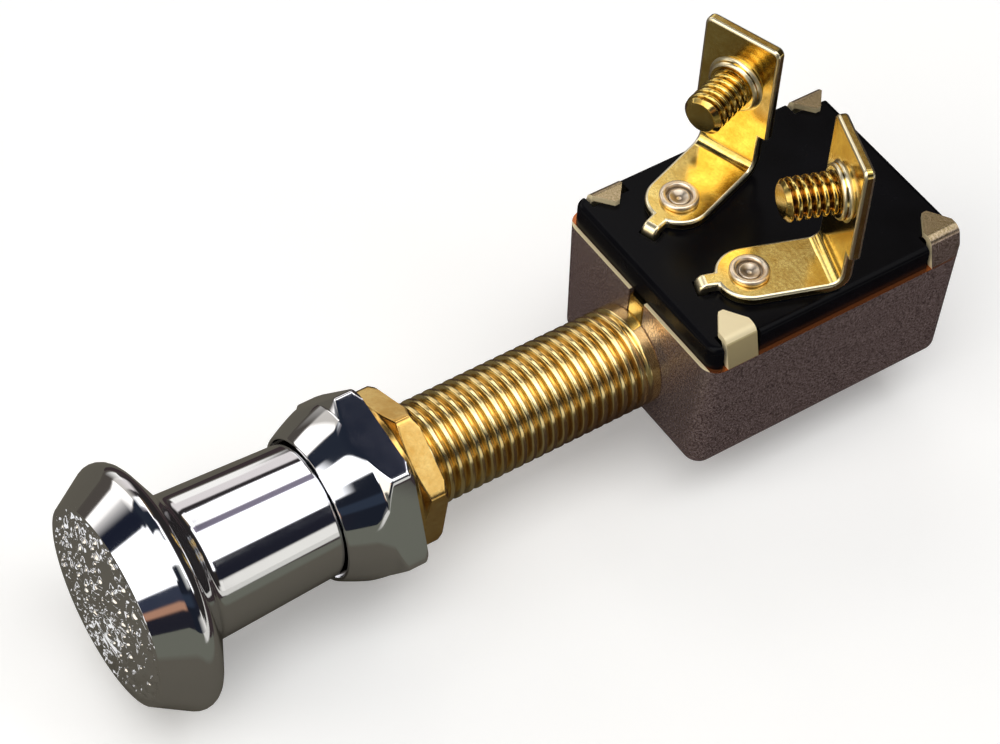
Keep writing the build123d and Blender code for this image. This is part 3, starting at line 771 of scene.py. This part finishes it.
def terminal_screw(side, name):
    """Brass terminal screw with its thread and peened end."""
    tip = FLAG_FRONT - SCREW_REACH
    root = FLAG_FRONT - COLLAR_T - COLLAR_GAP
    seat = FLAG_FRONT + STRIP_T
    end = seat + PEEN_T
    crest = SCREW_D / 2
    corners = [(0, tip, 0.0), (crest - SCREW_BEVEL[0], tip, SMALL_ROUND),
               (crest, tip + SCREW_BEVEL[1], SCREW_ROUND), (crest, root, 0.0),
               (SCREW_CORE_D / 2, root, 0.0), (SCREW_CORE_D / 2, seat, 0.0),
               (PEEN_D / 2, seat, SCREW_ROUND), (PEEN_D / 2, end, PEEN_ROUND), (0, end, 0.0)]
    piece = turned("brass_screw_" + name, outline(corners, SCREW_STEP), SCREW_SIDES, STRIP_BRASS)
    apply_tree(piece, THREAD, pitch=SCREW_PITCH * MM, depth=SCREW_DEPTH * MM, crest_radius=crest * MM,
               start=(tip - SCREW_RUN_IN) * MM, end=(root + SCREW_RUN_OUT) * MM, finish=STRIP_BRASS)
    piece.data.transform(terminal_place(side) @ Matrix.Translation((0, 0, SCREW_HEIGHT * MM)))
    stand_for(piece, "terminal_screw_" + name)


def eyelet(name):
    """Rivet with its rim rolled round a dished button."""
    low, high = place_of("eyelet_" + name)
    outer = EYELET_D / 2
    ring = EYELET_RING / 2
    button = EYELET_BUTTON / 2
    top = high.z
    crown = top - EYELET_CROWN
    seat = top - EYELET_RIM
    floor = top - EYELET_GROOVE
    foot = low.z + EYELET_RIM
    shank = EYELET_SHANK_D / 2
    corners = [(0, crown - EYELET_DISH[0], 0.0),
               (button * EYELET_DISH_SHARES[0], crown - EYELET_DISH[1], EYELET_DISH_ROUND),
               (button * EYELET_DISH_SHARES[1], crown, SMALL_ROUND), (button, crown, SMALL_ROUND),
               (button + EYELET_TAPER, floor, EYELET_GROOVE_ROUND),
               (ring - EYELET_TAPER, floor, EYELET_GROOVE_ROUND), (ring, top, EYELET_ROLL_ROUND[0]),
               (outer, top, EYELET_ROLL_ROUND[1]), (outer, seat, SMALL_ROUND), (shank, seat, 0.0),
               (shank, foot, 0.0), (outer, foot, 0.0), (outer, low.z, EYELET_FOOT_ROUND), (0, low.z, 0.0)]
    piece = turned("tinned_eyelet_" + name, outline(corners, EYELET_STEP), EYELET_SIDES, TINNED)
    # Painted shade inside the rolled rim, darker with depth
    groove = piece.data.attributes.new("groove", "FLOAT", "POINT")
    for point, mark in zip(piece.data.vertices, groove.data):
        inside = math.hypot(point.co.x, point.co.z) < ring * MM and point.co.y > seat * MM
        mark.value = min(1, (top - point.co.y / MM) / EYELET_RIM) * EYELET_SHADE if inside else 0
    centre = Vector(((low.x + high.x) / 2, (low.y + high.y) / 2, 0)) * MM
    piece.data.transform(Matrix.Translation(centre) @ Matrix.Rotation(math.radians(90), 4, "X"))
    stand_for(piece, "eyelet_" + name)


def eased(mesh, node, name, material, width):
    """Piece from a CAD node's mesh: welded, flat faces kept flat, sharp edges eased, their bevels marked
    for a painted highlight.
    """
    shape = bmesh.new()
    shape.from_mesh(mesh)
    bmesh.ops.remove_doubles(shape, verts=shape.verts, dist=WELD * MM)
    bmesh.ops.dissolve_limit(shape, angle_limit=FLAT_ANGLE, verts=shape.verts, edges=shape.edges)
    shape.to_mesh(mesh)
    shape.free()
    mesh.shade_smooth()
    mesh.set_sharp_from_angle(angle=SHARP_ANGLE)
    piece = new_object(name, mesh, material)
    mesh.materials.append(material)
    if width:
        bevel = piece.modifiers.new("eased_edges", "BEVEL")
        bevel.width = width * MM
        bevel.segments = EASE_STEPS
        bevel.limit_method = "ANGLE"
        bevel.angle_limit = SHARP_ANGLE
        bevel.material = 1
    flat = piece.modifiers.new("flat_faces", "WEIGHTED_NORMAL")
    flat.weight = 100
    flat.keep_sharp = True
    mesh = bake(piece).data
    # Faces of the bevel carry the painted highlight mark
    pale_and_highlight = mesh.attributes.new("pale_and_highlight", "FLOAT", "FACE")
    for face, mark in zip(mesh.polygons, pale_and_highlight.data):
        mark.value = face.material_index
        face.material_index = 0
    mesh.materials.pop()
    stand_for(piece, node)
    return piece


def terminal(side, name):
    """Stamped brass terminal with a painted highlight on its edges and its nib made pale."""
    mesh = nodes["terminal_left"].data.copy()
    place = terminal_place(side)
    mesh.transform(place @ terminal_place(-1).inverted())
    piece = eased(mesh, "terminal_" + name, "brass_terminal_" + name, STRIP_BRASS, STRIP_EDGE)
    for face, mark in zip(piece.data.polygons, piece.data.attributes["pale_and_highlight"].data):
        spot = place.inverted() @ face.center / MM
        # The nib in front of the eyelet is made pale with the same mark
        if spot.y < -STRIP_WIDTH / 2:
            mark.value = NIB_PALENESS


def housing():
    """Brass can with painted shade, and painted highlights on its tabs' edges and tops, the nearest tab
    most.
    """
    piece = eased(nodes["housing"].data.copy(), "housing", "bronzed_housing", BRASS_PAINTED_LIGHT, 0)
    rim = place_of("terminal_plate")[0].z + PLATE_PLUG
    # Painted highlight on the tabs above the rim: full on edges and the nearest tab's top, less on its
    # sides, other tops by how much they face up
    for face, mark in zip(piece.data.polygons, piece.data.attributes["pale_and_highlight"].data):
        spot = face.center / MM
        outward = math.copysign(1, spot.x) * face.normal.x
        if spot.z < rim + ABOVE_RIM:
            continue
        nearest = spot.x > 0 and spot.y < BOX_MIDDLE
        if abs(face.normal.y) > MOSTLY or outward < -MOSTLY or (nearest and face.normal.z > MOSTLY):
            mark.value = 1.0
        elif nearest:
            mark.value = NEAR_TAB_HIGHLIGHT
        else:
            mark.value = TAB_HIGHLIGHT * max(0, face.normal.z)


def paint(node, material):
    """Finish of a CAD node that stays as it is."""
    mesh = nodes[node].data
    mesh.materials.clear()
    mesh.materials.append(material)


make_camera()
knob()
bezel_nut()
panel_nut()
threaded_stem()
for side, name in ((-1, "left"), (1, "right")):
    terminal_screw(side, name)
    eyelet(name)
    terminal(side, name)
    paint("fixed_contact_" + name, STRIP_BRASS)
housing()
paint("terminal_plate", PHENOLIC)
paint("carriage", PHENOLIC)
paint("contact_bar", STRIP_BRASS)
for node in ("floor_liner", "stop_washer"):
    paint(node, FIBRE)
for node in ("plunger_shaft", "detent_ring", "contact_spring", "retaining_clip"):
    paint(node, STEEL)

# Studio: strips of light and dark along the stem, each from its angle about the stem, +X towards +Z
SKY_LEVEL = 2.4
SKY_EDGE = 1.5
SKY_START = -30
SKY_END = 210
FRONT_LIGHT = [(-30, "#38352F"), (4, "#D2C8B6"), (176, "#38352F")]
KNOB_STRIPS = [(-30, "#14141A"), (19, "#7A5A48"), (28, "#20242F"), (46, "#FFFFFF"), (112, "#0F121C"),
               (151, "#565759"), (173, "#C0BCB8"), (181, "#38352F")]
MOUTH_STRIPS = [(-30, "#14141A"), (24, "#1C222C"), (36, "#10131A"), (50, "#FFFFFF"), (107, "#0F121C"),
                (148, "#8E8C8A"), (168, "#38352F")]
BELL_NEAR = [(-30, "#38352F"), (-3, "#10131A"), (24, "#1C222C"), (36, "#10131A"), (63, "#FFFFFF"),
             (95, "#161A22")]
BELL_FAR = [(163, "#34302C"), (179, "#38352F")]
BELL_STRIPS = [*BELL_NEAR, (131, "#DCD8D2"), *BELL_FAR]
BELL_END_STRIPS = [*BELL_NEAR, (131, "#8E8A84"), *BELL_FAR]
FLAT_STRIPS = [(-30, "#38352F"), (-8, "#979590"), (14, "#12131A"), (40, "#9C9C98"), (62, "#FFFFFF"),
               (84, "#12161F"), (116, "#8E8A8C"), (121, "#FFFFFF"), (133, "#1E1B1C"), (144, "#A09B99"),
               (160, "#B5B3AE"), (176, "#38352F")]
NECK_STRIPS = [(-30, "#38352F"), (-6, "#A8A6A0"), (17, "#12131A"), (48, "#FFFFFF"), (96, "#5A5560"),
               (107, "#F4F2F0"), (135, "#1E1B1C"), (144, "#A09B99"), (167, "#2A2625"), (179, "#38352F")]
PLATE_STRIPS = [(-30, "#38352F"), (-8, "#979590"), (8, "#1C1816"), (34, "#FFFFFF"), (108, "#2A2A30"),
                (114, "#5C4E3A"), (136, "#1E1B1C"), (146, "#A09B99"), (167, "#2A2625"), (179, "#38352F")]
BACK_DARK = [(-30, "#1A1818"), (179, "#2A2625")]

# Which strips the sky has, by how far a direction points along Y
SKY = {-0.92: FRONT_LIGHT, -0.76: KNOB_STRIPS, -0.64: KNOB_STRIPS, -0.58: MOUTH_STRIPS, -0.42: BELL_STRIPS,
       -0.17: BELL_STRIPS, -0.12: BELL_END_STRIPS, 0.345: FLAT_STRIPS, 0.362: FLAT_STRIPS,
       0.372: NECK_STRIPS, 0.435: NECK_STRIPS, 0.46: PLATE_STRIPS, 0.62: BACK_DARK}


def make_sky():
    """Soft boxes and dark gaps that run along the stem."""
    world = bpy.data.worlds.new("studio")
    bpy.context.scene.world = world
    world.use_nodes = True
    tree = world.node_tree
    tree.nodes.clear()
    way = add(tree, "ShaderNodeTexCoord").outputs["Generated"]
    axes = add(tree, "ShaderNodeSeparateXYZ", {0: way}).outputs
    angle = add(tree, "ShaderNodeMath", {0: axes["Z"], 1: axes["X"]}, operation="ARCTAN2").outputs[0]
    share = add(tree, "ShaderNodeMapRange", {"Value": angle, "From Min": math.radians(SKY_START),
                                             "From Max": math.radians(SKY_END)}).outputs[0]
    shown = None
    for along, strips in SKY.items():
        ramp = add(tree, "ShaderNodeValToRGB", {0: share})
        stops = ramp.color_ramp.elements
        marks = []
        for (first, code), after in zip(strips, strips[1:] + [(SKY_END, None)]):
            marks += [(first + SKY_EDGE, code), (after[0] - SKY_EDGE, code)]
        while len(stops) < len(marks):
            stops.new(0.5)
        for stop, (degrees, code) in zip(stops, marks):
            stop.position = (degrees - SKY_START) / (SKY_END - SKY_START)
            stop.color = linear(code)
        if shown:
            part = add(tree, "ShaderNodeMapRange", {"Value": axes["Y"], "From Min": last,
                                                    "From Max": along}).outputs[0]
            shown = add(tree, "ShaderNodeMix", {"Factor": part, "A": shown, "B": ramp.outputs[0]},
                        data_type="RGBA").outputs["Result"]
        else:
            shown = ramp.outputs[0]
        last = along
    shade = add(tree, "ShaderNodeBackground", {"Color": shown, "Strength": SKY_LEVEL})
    add(tree, "ShaderNodeOutputWorld", {"Surface": shade.outputs[0]})


def level_sheet(name, size, centre, height, material):
    """Square sheet that lies level."""
    shape = bmesh.new()
    bmesh.ops.create_grid(shape, x_segments=1, y_segments=1, size=size)
    mesh = bpy.data.meshes.new(name)
    shape.to_mesh(mesh)
    shape.free()
    mesh.transform(Matrix.Translation((*centre, height)))
    piece = new_object(name, mesh, material)
    return piece


def matt(name, code):
    """Plain matt paper or paint."""
    material, tree, shader, spot = new_material(name)
    shader.inputs["Base Color"].default_value = linear(code)
    shader.inputs["Roughness"].default_value = 1.0
    shader.inputs["Specular IOR Level"].default_value = 0.0
    return material, tree, shader, spot


# Floor and the cards on it, in millimetres but for the floor's half width in metres
FLOOR_SIZE = 3.0
FLOOR_GAP = 0.2
FLOOR_GLOW = 0.2
CARD_GAP = 0.05
CARD_BROWN = "#42383A"

# Fields on the brown card: where each starts and is full along Y, its colour, and the same along X
CARD_FIELDS = [(-10, -15, "#68645A", None, None), (-3, -8, "#74766B", 32, 40),
               (-60, -25, "#ECEBE4", 95, 110)]

# White cards: name, half their width, and where their middle lies in X and Y
WHITE_CARDS = [("white_card", 19, -34, -92), ("near_card", 2.5, -4, -58)]


def make_floor():
    """Pale floor under the part, with a brown card and two white ones that show in the metal alone."""
    bottom = cad_low.z - FLOOR_GAP * MM
    white, _, shader, _ = matt("floor_matt_white", "#FBFBFA")
    shader.inputs["Emission Color"].default_value = (1, 1, 1, 1)
    shader.inputs["Emission Strength"].default_value = FLOOR_GLOW
    level_sheet("floor", FLOOR_SIZE, (0, 0), bottom, white)
    brown, tree, shader, spot = matt("card_matt_brown", CARD_BROWN)
    axes = add(tree, "ShaderNodeSeparateXYZ", {0: spot}).outputs
    colour = linear(CARD_BROWN)
    for start, end, code, x_from, x_to in CARD_FIELDS:
        part = add(tree, "ShaderNodeMapRange", {"Value": axes["Y"], "From Min": start * MM,
                                                "From Max": end * MM}).outputs[0]
        if x_from:
            aside = add(tree, "ShaderNodeMapRange", {"Value": axes["X"], "From Min": x_from * MM,
                                                     "From Max": x_to * MM}).outputs[0]
            part = add(tree, "ShaderNodeMath", {0: part, 1: aside}, operation="MULTIPLY").outputs[0]
        colour = add(tree, "ShaderNodeMix", {"Factor": part, "A": colour, "B": linear(code)},
                     data_type="RGBA").outputs["Result"]
    tree.links.new(colour, shader.inputs["Base Color"])
    cards = [level_sheet("brown_card", FLOOR_SIZE, (0, 0), bottom + CARD_GAP * MM, brown)]
    for name, size, x, y in WHITE_CARDS:
        cards.append(level_sheet(name, size * MM, (x * MM, y * MM), bottom + 2 * CARD_GAP * MM, white))
    for card in cards:
        card.visible_camera = False
        card.visible_diffuse = False
        card.visible_shadow = False


make_sky()
make_floor()
bpy.context.scene.view_settings.view_transform = "Standard"

bpy.context.view_layer.update()
